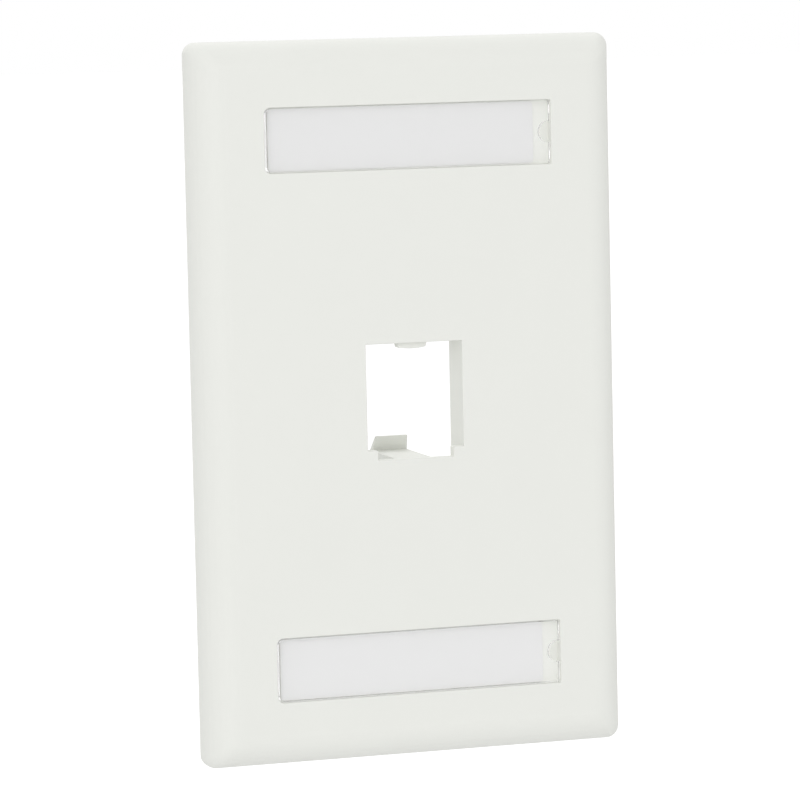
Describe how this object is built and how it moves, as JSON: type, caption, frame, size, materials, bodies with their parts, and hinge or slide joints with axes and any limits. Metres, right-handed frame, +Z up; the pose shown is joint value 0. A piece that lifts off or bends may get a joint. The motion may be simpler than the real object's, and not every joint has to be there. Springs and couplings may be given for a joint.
{
  "type": "keystone faceplate",
  "caption": "Single-gang wall faceplate with a snap-in module opening, a sprung rear tongue, and clear covers over paper label windows that hide its screws.",
  "frame": {"origin": "centre of the plate on the wall plane, midway between the two screws", "axes": "+X to the right as seen from the front, +Y into the wall, +Z up"},
  "size_m": [0.0698, 0.0269, 0.1142],
  "materials": {
    "plate": "satin moulded",
    "clear_cover": "clear polished",
    "label_paper": "plain matt card",
    "screw": "zinc plated"
  },
  "bodies": {
    "plate": {"faceplate": "plate", "label_card_top": "label_paper", "label_card_bottom": "label_paper", "mounting_screw_top": "screw", "mounting_screw_bottom": "screw"},
    "top_cover": {"label_cover_top": "clear_cover"},
    "bottom_cover": {"label_cover_bottom": "clear_cover"}
  },
  "joints": [
    {"name": "top_cover_tilt", "type": "hinge", "parent": "plate", "child": "top_cover", "pos_m": [-0.02353, -0.00665, 0.04167], "axis": [0, 0, -1], "range_deg": [0, 35]},
    {"name": "bottom_cover_tilt", "type": "hinge", "parent": "plate", "child": "bottom_cover", "pos_m": [-0.02353, -0.00665, -0.04167], "axis": [0, 0, -1], "range_deg": [0, 35]}
  ]
}
